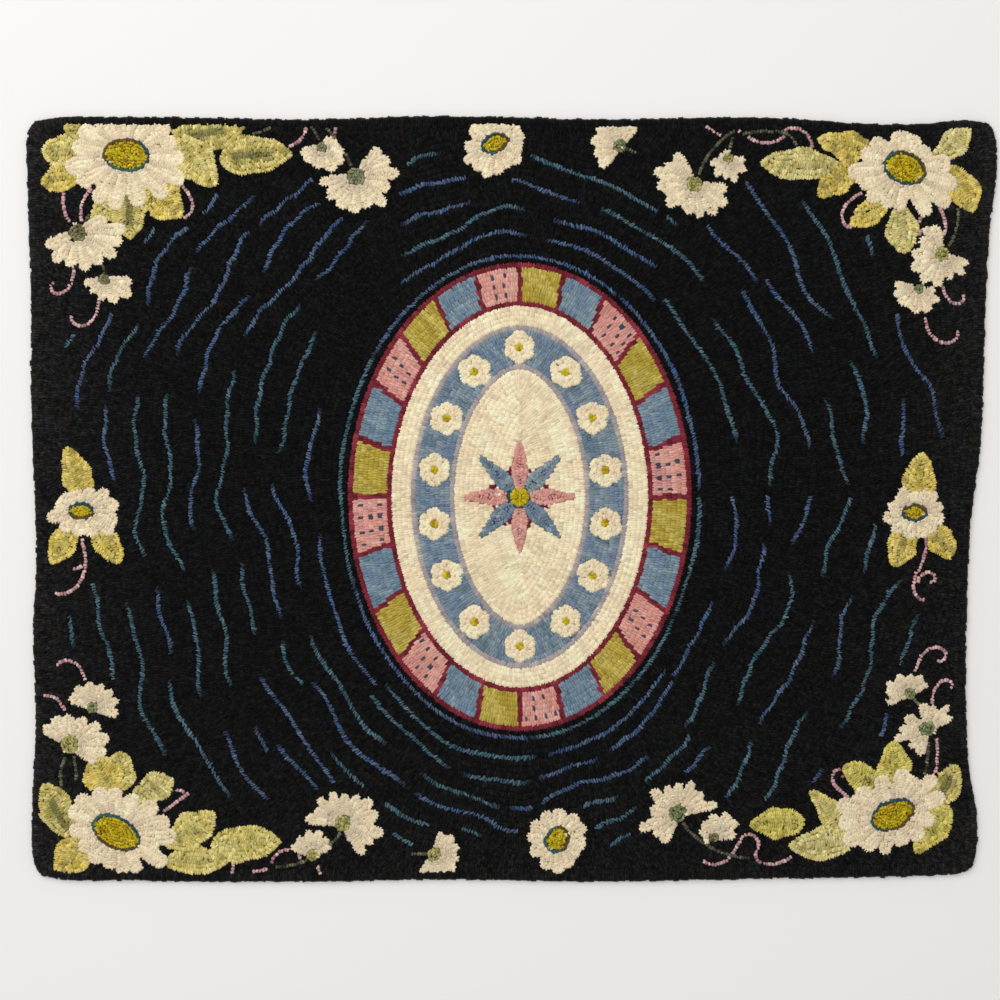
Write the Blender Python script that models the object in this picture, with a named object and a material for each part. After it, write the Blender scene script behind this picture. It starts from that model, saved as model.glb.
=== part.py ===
"""Hooked rug: wool loops pulled through a cloth foundation, one flat slab that lies face up.

Units are metres and +Z is up. The origin is on the floor, in the middle of the rug's outline.
"""

import math
from collections import namedtuple

import bpy

# Driving dimensions, width and depth at their widest
WIDTH = 0.930
DEPTH = 0.734
THICKNESS = 0.006
EDGE_ROUND = 0.0022
CORNER_RADIUS = 0.014
CORNER_POINTS = 3
STEPS_BETWEEN_POINTS = 8
EDGE_ROUND_STEPS = 1

# Near black wool of the ground
GROUND_COLOUR = (0.012, 0.012, 0.014, 1.0)
GROUND_ROUGHNESS = 0.95

# Where a side stands in from the widest outline: place along the side, and how far in
Stop = namedtuple("Stop", "along inset")

RIGHT_SIDE = [
    Stop(along=-0.316, inset=0.018),
    Stop(along=-0.258, inset=0.026),
    Stop(along=-0.200, inset=0.029),
    Stop(along=-0.105, inset=0.028),
    Stop(along=-0.028, inset=0.025),
    Stop(along=0.049, inset=0.0155),
    Stop(along=0.164, inset=0.011),
    Stop(along=0.260, inset=0.006),
    Stop(along=0.318, inset=0.000),
]
FAR_SIDE = [
    Stop(along=0.380, inset=0.008),
    Stop(along=0.230, inset=0.001),
    Stop(along=0.090, inset=0.003),
    Stop(along=-0.060, inset=0.000),
    Stop(along=-0.200, inset=0.003),
    Stop(along=-0.350, inset=0.001),
]
LEFT_SIDE = [
    Stop(along=0.300, inset=0.001),
    Stop(along=0.180, inset=0.004),
    Stop(along=0.090, inset=0.004),
    Stop(along=-0.010, inset=0.008),
    Stop(along=-0.066, inset=0.009),
    Stop(along=-0.124, inset=0.006),
    Stop(along=-0.220, inset=0.0085),
    Stop(along=-0.297, inset=0.005),
]
NEAR_SIDE = [
    Stop(along=-0.350, inset=0.001),
    Stop(along=-0.200, inset=0.000),
    Stop(along=-0.060, inset=0.002),
    Stop(along=0.090, inset=0.000),
    Stop(along=0.250, inset=0.003),
    Stop(along=0.400, inset=0.006),
]

# Each corner: the signs of x and y that lead to it, and how far it stands in along x and y
Corner = namedtuple("Corner", "side_x side_y inset_x inset_y")

FAR_RIGHT = Corner(side_x=1, side_y=1, inset_x=0.001, inset_y=0.005)
FAR_LEFT = Corner(side_x=-1, side_y=1, inset_x=0.001, inset_y=0.003)
NEAR_LEFT = Corner(side_x=-1, side_y=-1, inset_x=0.007, inset_y=0.004)
NEAR_RIGHT = Corner(side_x=1, side_y=-1, inset_x=0.021, inset_y=0.008)


def clear_scene():
    for thing in list(bpy.data.objects):
        bpy.data.objects.remove(thing, do_unlink=True)


def upright_side(stops, side_x):
    """Points of a side that runs along y."""
    return [(side_x * (WIDTH / 2 - stop.inset), stop.along) for stop in stops]


def level_side(stops, side_y):
    """Points of a side that runs along x."""
    return [(stop.along, side_y * (DEPTH / 2 - stop.inset)) for stop in stops]


def corner_arc(corner):
    """Points round one corner, in order anticlockwise."""
    centre_x = corner.side_x * (WIDTH / 2 - corner.inset_x - CORNER_RADIUS)
    centre_y = corner.side_y * (DEPTH / 2 - corner.inset_y - CORNER_RADIUS)
    middle = math.atan2(corner.side_y, corner.side_x)
    points = []
    for step in range(CORNER_POINTS):
        turn = middle + (step / (CORNER_POINTS - 1) - 0.5) * math.pi / 2
        points.append((centre_x + CORNER_RADIUS * math.cos(turn), centre_y + CORNER_RADIUS * math.sin(turn)))
    return points


def rug_outline():
    """The rug's edge, anticlockwise from the near right corner, pulled a little out of true by use."""
    points = corner_arc(NEAR_RIGHT) + upright_side(RIGHT_SIDE, 1)
    points += corner_arc(FAR_RIGHT) + level_side(FAR_SIDE, 1)
    points += corner_arc(FAR_LEFT) + upright_side(LEFT_SIDE, -1)
    points += corner_arc(NEAR_LEFT) + level_side(NEAR_SIDE, -1)
    return points


def ground_wool():
    material = bpy.data.materials.new("hooked_wool")
    material.use_nodes = True
    shader = material.node_tree.nodes["Principled BSDF"]
    shader.inputs["Base Color"].default_value = GROUND_COLOUR
    shader.inputs["Roughness"].default_value = GROUND_ROUGHNESS
    shader.inputs["Metallic"].default_value = 0.0
    return material


def make_rug(collection):
    """Foundation and pile as one filled curve, its edge rounded by the turned loops of the last rows."""
    curve = bpy.data.curves.new("hooked_rug", "CURVE")
    curve.dimensions = "2D"
    curve.fill_mode = "BOTH"
    curve.resolution_u = STEPS_BETWEEN_POINTS
    curve.extrude = THICKNESS / 2 - EDGE_ROUND
    curve.bevel_depth = EDGE_ROUND
    curve.bevel_resolution = EDGE_ROUND_STEPS
    curve.offset = -EDGE_ROUND
    outline = rug_outline()
    spline = curve.splines.new("BEZIER")
    spline.bezier_points.add(len(outline) - 1)
    for point, (x, y) in zip(spline.bezier_points, outline):
        point.co = (x, y, 0)
        point.handle_left_type = "AUTO"
        point.handle_right_type = "AUTO"
    spline.use_cyclic_u = True
    rug = bpy.data.objects.new("hooked_rug", curve)
    rug.data.materials.append(ground_wool())
    rug.location = (0, 0, THICKNESS / 2)
    collection.objects.link(rug)
    return rug


def centre_over_origin(rug):
    """The outline bulges a little between its points, so its true middle is found from its bounds."""
    bpy.context.view_layer.update()
    across = [corner[0] for corner in rug.bound_box]
    along = [corner[1] for corner in rug.bound_box]
    rug.location.x = -(min(across) + max(across)) / 2
    rug.location.y = -(min(along) + max(along)) / 2


def main():
    clear_scene()
    collection = bpy.data.collections.new("hooked rug")
    bpy.context.scene.collection.children.link(collection)
    centre_over_origin(make_rug(collection))


main()
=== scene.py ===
import math
from collections import namedtuple

import bmesh
import bpy
import numpy as np
from mathutils import Matrix


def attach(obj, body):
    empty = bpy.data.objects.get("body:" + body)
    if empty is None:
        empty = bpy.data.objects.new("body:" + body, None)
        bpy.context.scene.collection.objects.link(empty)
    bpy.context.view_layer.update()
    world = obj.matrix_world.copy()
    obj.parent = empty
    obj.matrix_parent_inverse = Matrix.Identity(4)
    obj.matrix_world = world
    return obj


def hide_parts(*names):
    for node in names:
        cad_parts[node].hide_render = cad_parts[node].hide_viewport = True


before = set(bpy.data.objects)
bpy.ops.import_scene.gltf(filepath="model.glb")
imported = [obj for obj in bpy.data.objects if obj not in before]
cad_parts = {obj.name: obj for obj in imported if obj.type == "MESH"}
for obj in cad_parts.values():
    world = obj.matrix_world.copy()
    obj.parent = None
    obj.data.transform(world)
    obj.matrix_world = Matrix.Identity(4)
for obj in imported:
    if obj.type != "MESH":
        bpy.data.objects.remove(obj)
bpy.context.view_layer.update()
rng = np.random.default_rng(41)
mm = 0.001
print("frame loaded")


# Rows and loops of hooked wool

hooking = {
    "rowGap": 4.65 * mm,        # one strip's width, row beside row
    "loopGap": 2.4 * mm,        # between ten and eleven loops to the inch
    "clothTop": 1.2 * mm,       # face of the foundation cloth
    "rootDepth": 0.3 * mm,      # how far the loops start below that face
    "pileTop": 6.0 * mm,
    "unevenTop": 0.35 * mm,
    "shoulder": (0.68, 0.66, 0.56),     # reach along and across the row, as shares of the gaps, and height
    "root": (1.05, 0.95),               # the same at the foot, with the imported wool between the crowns
    "crown": 0.42,              # reach across the row
    "unevenTurn": 6.0,          # degrees
    "unevenSize": 0.09,
    "unevenPlace": 0.15 * mm,
    "lean": 0.06,               # sideways, as a share of the height
    "wayStep": 0.8 * mm,        # how far before and after a loop its row's direction is read
    "covered": 0.96,            # share of its ground that a hooked loop fills
    "core": 0.4,                # share of its ground that has to be bare before
    "bareEdge": 0.9 * mm,       # how far the first row keeps inside the slab's edge
    "edgeWander": 1.0 * mm,
    "oddLoop": (0.75, 0.5),     # small loops that close the gaps in a motif
    "oddCore": 0.34,
}

# Where wool already lies, in small squares over the whole rug
canvas = {"square": 0.7 * mm, "left": -480 * mm, "near": -380 * mm, "columns": 1372, "rows": 1086}
hooked = np.zeros((canvas["columns"], canvas["rows"]), dtype=bool)
wools = {}


def squaresAt(x, y):
    column = ((x - canvas["left"]) / canvas["square"]).astype(int)
    row = ((y - canvas["near"]) / canvas["square"]).astype(int)
    return np.clip(column, 0, canvas["columns"] - 1), np.clip(row, 0, canvas["rows"] - 1)


def centresOf(columns, rows):
    return np.stack([canvas["left"] + (columns + 0.5) * canvas["square"],
                     canvas["near"] + (rows + 0.5) * canvas["square"]], axis=1)


def fullTurn(count):
    return np.linspace(0, math.tau, count, endpoint=False)


def towards(turns):
    return np.stack([np.cos(turns), np.sin(turns)], axis=1)


def leftOf(turns):
    return np.stack([-np.sin(turns), np.cos(turns)], axis=1)


def placedAt(points, turns, along, across):
    # spots that are given along and across a loop, moved to where each loop stands
    cosine, sine = np.cos(turns)[:, None], np.sin(turns)[:, None]
    x = points[:, :1] + cosine * along - sine * across
    y = points[:, 1:] + sine * along + cosine * across
    return x, y


def footprint(points, turns, size, share):
    # spots spread over the ground that each loop covers
    along, across = np.meshgrid(np.linspace(-0.5, 0.5, 4), np.linspace(-0.5, 0.5, 8))
    along = along.ravel() * share * hooking["loopGap"] * size[0]
    across = across.ravel() * share * hooking["rowGap"] * size[1]
    return squaresAt(*placedAt(points, turns, along, across))


def settle(points, turns, size=(1, 1), core=hooking["core"]):
    # a loop goes in only where its middle finds bare cloth
    free = ~hooked[footprint(points, turns, size, core)].any(axis=1)
    hooked[footprint(points[free], turns[free], size, hooking["covered"])] = True
    return free


def settleOneByOne(spots, turns, size, core):
    # odd loops go in last, in no order, where the rows left bare cloth
    order = rng.permutation(len(spots))
    order = order[~hooked[footprint(spots[order], turns[order], size, core)].any(axis=1)]
    return [n for n in order if settle(spots[n:n + 1], turns[n:n + 1], size, core)[0]]


def evenly(path, gap, closed):
    # places a loop's gap apart along a path, the way it runs there, and how far along each is
    if closed:
        path = np.vstack([path, path[:1]])
    travelled = np.concatenate([[0], np.cumsum(np.hypot(*np.diff(path, axis=0).T))])
    total = travelled[-1]
    count = max(int(round(total / gap)), 1)
    marks = (np.arange(count) + (rng.random() if closed else 0.5)) * total / count

    def at(places):
        return [np.interp(places, travelled, path[:, axis]) for axis in (0, 1)]

    before = at(np.clip(marks - hooking["wayStep"], 0, total))
    after = at(np.clip(marks + hooking["wayStep"], 0, total))
    return np.stack(at(marks), axis=1), np.arctan2(after[1] - before[1], after[0] - before[0]), marks


def smoothed(path, step=0.9 * mm):
    return evenly(path, step, True)[0]


def beside(outline, distance):
    # the outline moved to its left, which is inwards for one that runs anticlockwise
    way = np.roll(outline, -1, axis=0) - np.roll(outline, 1, axis=0)
    way /= np.maximum(np.hypot(way[:, 0], way[:, 1]), 1e-9)[:, None]
    return outline + np.stack([-way[:, 1], way[:, 0]], axis=1) * distance


def distanceTo(points, outline):
    return np.sqrt(((points[:, None, :] - outline[None, :, :]) ** 2).sum(axis=2).min(axis=1))


def runsOf(path, good):
    # the stretches of a closed path that are good, and whether each is the whole ring
    if good.all():
        return [(path, True)]
    start = int(np.argmin(good))
    path = np.roll(path, -start, axis=0)
    good = np.roll(good, -start)
    edges = np.flatnonzero(np.diff(good.astype(int)))
    bounds = np.concatenate([edges + 1, [len(path)]])
    return [(path[a:b], False) for a, b in zip(bounds[:-1], bounds[1:]) if good[a] and b - a > 1]


def rowBeside(outline, distance, least):
    # one row beside an outline, left out where it would come closer than least to another part of it
    path = beside(outline, distance)
    for run, closed in runsOf(path, distanceTo(path, outline) > least):
        points, turns, marks = evenly(run, hooking["loopGap"], closed)
        yield points, turns


def keep(piece, points, turns, colours, size=(1, 1)):
    wools.setdefault(piece, []).append((points, turns, colours, np.ones((len(points), 2)) * size))


def hook(piece, points, turns, shade, size=(1, 1), core=hooking["core"], room=None, depth=0.0):
    # room is the loops' share of the ground where that isn't their size
    free = settle(points, turns, room or size, core)
    keep(piece, points[free], turns[free], shade(points[free], depth), size)


def fillGaps(piece, spots, turns, shade, size, core):
    placed = settleOneByOne(spots, turns, size, core)
    if placed:
        keep(piece, spots[placed], turns[placed], shade(spots[placed], 0.5), size)


def bareSpots(spots):
    # the bare squares among those that the spots touch, each once, and which spot touched it
    column, row = squaresAt(spots[:, 0], spots[:, 1])
    bare = np.flatnonzero(~hooked[column, row])
    return bare[np.unique(column[bare] * canvas["rows"] + row[bare], return_index=True)[1]]


def hookShape(piece, rim, heart, shade, lean=0.0, heading=0.0, jumble=0.0, size=(1, 1)):
    # one motif: rows that run like its rim, each nearer to the heart, which has a place for each rim point
    deepest = np.hypot(*(rim - heart).T).max()
    count = max(int(round(deepest / (hooking["rowGap"] * size[1]))), 1)
    for row in range(count):
        path = heart + (rim - heart) * (1 - (row + 0.5) / count)
        points, turns, marks = evenly(path, hooking["loopGap"] * size[0], True)
        turns = turns + np.arctan(lean * np.cos(turns - heading)) + rng.normal(0, 1, len(turns)) * jumble
        hook(piece, points, turns, shade, size, depth=row / count)
    steps = np.linspace(0.02, 1, count * 7)[:, None, None] * (1 - 0.6 * mm / max(deepest, mm))
    spots = (heart + (rim - heart) * steps).reshape(-1, 2)
    way = np.tile(np.roll(rim, -1, axis=0) - rim, (len(steps), 1))
    bare = bareSpots(spots)
    bare = bare[insideRug(spots[bare], 1.5 * hooking["rowGap"])]
    turns = np.arctan2(way[bare, 1], way[bare, 0])
    fillGaps(piece, spots[bare], turns, shade, hooking["oddLoop"], hooking["oddCore"])


# Dyes

def linear(hexCode):
    levels = np.array([int(hexCode[n:n + 2], 16) for n in (1, 3, 5)]) / 255
    return np.where(levels <= 0.04045, levels / 12.92, ((levels + 0.055) / 1.055) ** 2.4)


def blend(first, second, share):
    return first * (1 - share) + second * share


def sway(points, reach, seed):
    # smooth rise and fall between about -1 and 1 over the rug, from a few crossed waves
    own = np.random.default_rng(seed)
    total = np.zeros(len(points))
    for wave in range(5):
        heading = own.uniform(0, math.tau)
        length = reach * own.uniform(0.7, 1.7)
        travel = points[:, 0] * math.cos(heading) + points[:, 1] * math.sin(heading)
        total += np.sin(travel * math.tau / length + own.uniform(0, math.tau))
    return np.clip(total / 2.4, -1, 1)


def dyed(points, hexCodes, seed, reach=50 * mm, uneven=0.09, scatter=0.22):
    # hand dyed wool slides from shade to shade, and no two loops take the dye alike
    shades = np.array([linear(code) for code in hexCodes])
    last = len(shades) - 1
    place = (sway(points, reach, seed) * 0.5 + 0.5) * last + rng.normal(0, scatter, len(points))
    place = np.clip(place, 0, last)
    lower = np.minimum(place.astype(int), max(last - 1, 0))
    share = (place - lower)[:, None]
    mixed = blend(shades[lower], shades[np.minimum(lower + 1, last)], (place - lower)[:, None])
    return mixed * np.clip(1 + rng.normal(0, uneven, len(points)), 0.6, 1.4)[:, None]


dyes = {
    "ground": ["#111113", "#141314", "#101315", "#141310", "#111115"],
    "echoBlue": ["#4a6189", "#5a7297", "#60758a", "#516792", "#657692", "#4d6e9e"],
    "echoTeal": ["#456a75", "#547a84", "#58728a", "#63848c", "#486c78", "#557486"],
    "cream": ["#fff1cf", "#f7e9c5", "#f3e0be", "#fcebca"],
    "creamShadow": ["#dac8a8", "#d0bea6", "#cfc4a8"],
    "gold": ["#d2bd1c", "#c1aa14", "#dcca32", "#b39b12"],
    "goldFleck": ["#c88a20", "#a28414", "#b86a24"],
    "discEdge": ["#2b5568", "#2a4e62", "#3f6a68"],
    "discShadow": ["#5a4a34", "#6b5530", "#4b4636"],
    "leafGold": ["#cfb958", "#e8cf68", "#f4e18c", "#dcc256", "#e8d680", "#b6a456"],
    "leafSage": ["#d0c274", "#ecde9a", "#dcce84", "#f2e6aa", "#e4d890", "#c4b870"],
    "leafPale": ["#d7c571", "#f2e295", "#d1c567", "#f5e59f", "#dfcf7d", "#c3b563"],
    "leafLime": ["#ccbe58", "#e6d874", "#f0e284", "#d6c862", "#e2d27c", "#b6a850"],
    "leafSmudged": ["#cab86a", "#eada8e", "#c4b860", "#eede96", "#d2c274", "#b2a658"],
    "vein": ["#67683a", "#5b613c", "#72703c"],
    "stem": ["#686a54", "#504f42", "#7a7a60", "#444338"],
    "cupDark": ["#7e7a54", "#6e6b48", "#8f8a62", "#948f66"],
    "cupGrey": ["#8f9470", "#808464", "#a0a47e"],
    "cupSage": ["#8f966c", "#7c855c", "#9da276"],
    "cupLime": ["#b6b06c", "#a09a5a", "#c4be7c"],
    "tendril": ["#daafaf", "#cb999d", "#e6c3bd", "#bd8791"],
    "maroon": ["#7c2430", "#8f3040", "#661d28", "#a03a4a"],
    "pink": ["#e2a596", "#dc9a8f", "#e8b3a4", "#d99a94"],
    "dustyBlue": ["#8295a4", "#7488a0", "#93a3a9", "#6d8494"],
    "patchBlue": ["#7f95a3", "#6f8aa0", "#8fa2aa", "#7a90a6"],
    "patchGold": ["#c4b04c", "#b7a03e", "#d0bd62", "#bcaa4e"],
    "greyLine": ["#b3a9a6", "#a69ca2", "#c0b6ac"],
    "seed": ["#4b5566", "#3e4858"],
}


# The rug's own edge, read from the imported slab

def rugEdge():
    # the ring of corners just above half the slab's height
    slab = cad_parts["hooked_rug"].data
    corners = np.empty(len(slab.vertices) * 3)
    slab.vertices.foreach_get("co", corners)
    corners = corners.reshape(-1, 3)
    half = corners[:, 2].max() / 2
    rim = corners[(corners[:, 2] > half) & (corners[:, 2] < half * 1.5), :2]
    rim = np.unique(rim.round(6), axis=0)
    return smoothed(rim[np.argsort(np.arctan2(rim[:, 1], rim[:, 0]))], 1.5 * mm)


edge = rugEdge()
edgeTurns = np.arctan2(edge[:, 1], edge[:, 0])
edgeReach = np.hypot(edge[:, 0], edge[:, 1])


def insideRug(points, margin):
    turns = np.arctan2(points[:, 1], points[:, 0])
    reach = np.interp(turns, edgeTurns, edgeReach, period=math.tau)
    return np.hypot(points[:, 0], points[:, 1]) < reach - margin


# How much paler the black is at each edge, and how far in that dies away
edgePaling = {
    "half": (465 * mm, 367 * mm),
    "side": (2.3, 50 * mm),
    "near": (0.9, 105 * mm),
    "far": (0.3, 70 * mm),
    "tint": (1.1, 1.0, 0.85),
}


def groundShade(points, depth):
    # black, paler and a little warmer towards the sides, less towards the near edge and least towards the far
    # one
    wide, deep = edgePaling["half"]
    insets = {"side": wide - np.abs(points[:, 0]), "near": deep + points[:, 1], "far": deep - points[:, 1]}
    paling = sum(edgePaling[side][0] * np.exp(-inset / edgePaling[side][1]) for side, inset in insets.items())
    black = dyed(points, dyes["ground"], 3, 40 * mm, 0.34, 0.5)
    return black * (1.02 + paling[:, None] * np.array(edgePaling["tint"]))


def hookEdgeRow(row):
    path = beside(edge, (row + 0.5) * hooking["rowGap"] + hooking["bareEdge"])
    points, turns, marks = evenly(path, hooking["loopGap"], True)
    # some loops stand further in than others
    points += leftOf(turns) * rng.uniform(0, hooking["edgeWander"], (len(points), 1))
    hook("ground", points, turns, groundShade)


def closeOutside():
    # no loop may start past the edge
    centres = centresOf(*np.indices(hooked.shape).reshape(2, -1))
    hooked[~insideRug(centres, hooking["bareEdge"]).reshape(hooked.shape)] = True


closeOutside()
hookEdgeRow(0)      # before the motifs, so that none runs over the edge


# Flowers, leaves, tendrils and stems of the border, charted on squares. Columns are counted from the left,
# rows from the far side, and bearings are in degrees anticlockwise from the right.

chart = {"square": 0.96 * mm, "middleColumn": 511.5, "middleRow": 499}

petalForm = {
    "daisyNotch": 0.74,         # how far in neighbours part, as a share of the shorter one
    "blossomNotch": 0.84,
    "neighbours": 0.82,         # petals closer than this, in radians, have such a notch
    "blunt": (3, 0.55),
    "overlap": 6,               # degrees
}


def charted(motif):
    return np.array([motif.column - chart["middleColumn"], chart["middleRow"] - motif.row]) * chart["square"]


def petalReach(turns, flower):
    # how far the petals reach in each direction: blunt tips, with shallow notches between neighbours
    floor = flower.floor
    notch = petalForm["daisyNotch" if isinstance(flower, Daisy) else "blossomNotch"]
    fall, rise = petalForm["blunt"]
    reach = np.full(len(turns), float(floor))
    ordered = sorted(flower.petals)
    for (bearing, length, half), following in zip(ordered, ordered[1:] + ordered[:1]):
        onward = turns - math.radians(bearing)
        away = np.abs((onward + math.pi) % math.tau - math.pi) / math.radians(half)
        reach = np.maximum(reach, floor + (length - floor) * np.clip(1 - away ** fall, 0, 1) ** rise)
        apart = math.radians((following[0] - bearing) % 360)
        if apart < petalForm["neighbours"]:
            between = onward % math.tau < apart
            reach[between] = np.maximum(reach[between], notch * min(length, following[1]))
    return reach


def innerReach(turns, flower):
    # the disc's own edge in each direction, or a place under the cup
    if isinstance(flower, Blossom):
        return np.full(len(turns), flower.floor * 0.7)
    turns = turns - math.radians(flower.tilt)
    return 1 / np.hypot(np.cos(turns) / flower.discLong, np.sin(turns) / flower.discDeep)


def petalShapes(flower):
    # each petal's outline from the disc to its tip, and the place on its midline that each spot draws to
    petals = sorted(flower.petals)
    bearings = [math.radians(petal[0]) for petal in petals]
    centre = charted(flower)
    for n, bearing in enumerate(bearings):
        widest = math.radians(petals[n][2]) + math.radians(petalForm["overlap"])
        before = bearing - min((bearing - bearings[n - 1]) % math.tau / 2, widest)
        after = bearing + min((bearings[(n + 1) % len(bearings)] - bearing) % math.tau / 2, widest)
        turns = np.concatenate([np.full(24, before), np.linspace(before, after, 60), np.full(24, after)])
        full = petalReach(turns, flower)
        least = np.minimum(innerReach(turns, flower), full)
        share = np.concatenate([np.linspace(0, 1, 24), np.ones(60), np.linspace(1, 0, 24)])
        reach = (least + (full - least) * share) * chart["square"]
        tip = petalReach(np.array([bearing]), flower)[0] * chart["square"]
        last = tip * (1 - math.sin((after - before) / 2) * 0.8)
        onMidline = np.minimum(reach * np.cos(turns - bearing), last)
        midline = np.array([math.cos(bearing), math.sin(bearing)])
        yield centre + towards(turns) * reach[:, None], centre + midline * onMidline[:, None]


def ovalPath(centre, half, tilt=0.0, count=600):
    turns = fullTurn(count)
    along, across = half[0] * np.cos(turns), half[1] * np.sin(turns)
    cosine, sine = math.cos(tilt), math.sin(tilt)
    return centre + np.stack([along * cosine - across * sine, along * sine + across * cosine], axis=1)


def roundFlower(centre, reach, petals, notch, seed):
    # a small flower from above, its petals not quite alike
    turns = fullTurn(900)
    place = turns / math.tau * petals
    tip = np.random.default_rng(seed).uniform(0.9, 1.06, petals)[np.floor(place).astype(int) % petals]
    distance = reach * tip * (1 - notch * (1 - np.abs(np.sin(place * math.pi)) ** 0.4))
    return centre + towards(turns) * distance[:, None]


def stepped(start, turns, length):
    return np.cumsum(towards(turns), axis=0) * length / len(turns) + start


def leafShape(leaf, seed):
    # two bowed and lobed sides that meet in a point, along a midrib that bends, and its place beside each
    own = np.random.default_rng(seed)
    steps = np.linspace(0, 1, 120)
    turns = math.radians(leaf.heading) + math.radians(leaf.bend) * (steps - 0.3)
    rib = stepped(charted(leaf), turns, leaf.length * chart["square"])
    bow = np.sin(math.pi * steps ** (math.log(0.5) / math.log(leaf.widest))) ** 0.76
    side = -leftOf(turns) * (leaf.width * chart["square"] / 2 * bow)[:, None]
    right, left = (1.02 + 0.1 * np.sin(steps * own.uniform(9, 15) + own.uniform(0, math.tau)) for n in (0, 1))
    rim = np.vstack([rib + side * right[:, None], (rib - side * left[:, None])[::-1]])
    return rim, np.vstack([rib, rib[::-1]])


def curlPath(curl):
    # bends evenly, and curls up towards its end
    steps = np.linspace(0, 1, 80)
    heading, bend, end = math.radians(curl.heading), math.radians(curl.bend), math.radians(curl.curl)
    turns = heading + bend * steps + end * steps ** 3
    return stepped(charted(curl), turns, curl.length * chart["square"])


# Each petal: its bearing, how far its tip is, and half its spread in degrees
Daisy = namedtuple("Daisy", "column row discLong discDeep tilt blueSide floor petals")
daisies = [
    Daisy(126, 155, 22, 15, -6, 300, 38, [(192, 62, 12), (211, 56, 11), (237, 57, 10), (257, 56, 11),
        (285, 52, 12), (314, 58, 10), (336, 64, 11), (356, 58, 11), (16, 52, 10), (36, 53, 12), (62, 48, 15),
        (92, 44, 16), (124, 47, 14), (150, 54, 12), (170, 55, 11)]),
    Daisy(905, 168, 21, 15, -20, 220, 30, [(98, 37, 18), (72, 34, 13), (38, 32, 12), (6, 46, 16),
        (341, 55, 14), (320, 59, 11), (296, 53, 12), (262, 42, 13), (244, 44, 11), (222, 49, 12),
        (201, 48, 10), (184, 57, 13), (160, 47, 13), (138, 44, 13)]),
    Daisy(116, 833, 25, 15, -28, 80, 33, [(136, 54, 12), (113, 49, 12), (92, 45, 13), (64, 43, 13),
        (36, 50, 13), (12, 55, 12), (356, 60, 11), (328, 59, 11), (300, 45, 11), (280, 42, 10), (258, 37, 12),
        (229, 39, 12), (203, 40, 13), (177, 47, 12), (153, 53, 12)]),
    Daisy(893, 815, 22, 13, 25, 140, 29, [(76, 47, 14), (60, 44, 12), (108, 41, 13), (146, 43, 14),
        (170, 57, 14), (190, 55, 12), (210, 56, 14), (232, 45, 12), (258, 41, 10), (290, 33, 16),
        (322, 38, 16), (352, 42, 14), (20, 56, 12), (42, 58, 10)]),
    Daisy(81, 511, 12, 7, 0, 90, 20, [(192, 35, 14), (164, 27, 16), (140, 25, 16), (100, 21, 22),
        (66, 24, 16), (38, 34, 13), (10, 38, 15), (344, 38, 14), (326, 39, 12), (298, 28, 16), (262, 25, 18),
        (226, 27, 16)]),
    Daisy(915, 513, 12, 7, -3, 270, 20, [(190, 32, 14), (164, 28, 14), (140, 26, 14), (118, 29, 12),
        (88, 20, 20), (60, 24, 14), (40, 30, 12), (14, 30, 14), (346, 30, 14), (318, 27, 16), (290, 26, 16),
        (256, 26, 16), (220, 29, 14)]),
    Daisy(495, 143, 13, 9, 24, 180, 22, [(188, 31, 12), (212, 37, 12), (232, 33, 12), (254, 36, 13),
        (278, 31, 13), (300, 28, 13), (324, 32, 13), (352, 28, 14), (16, 31, 14), (40, 30, 13), (68, 25, 14),
        (94, 24, 14), (120, 26, 14), (150, 29, 16)]),
    Daisy(557, 840, 13, 11, 60, 200, 24, [(172, 30, 14), (146, 31, 13), (114, 31, 14), (84, 32, 14),
        (52, 32, 14), (24, 32, 13), (352, 29, 14), (324, 27, 14), (298, 30, 14), (272, 33, 14), (246, 32, 14),
        (208, 30, 14)]),
]

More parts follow.
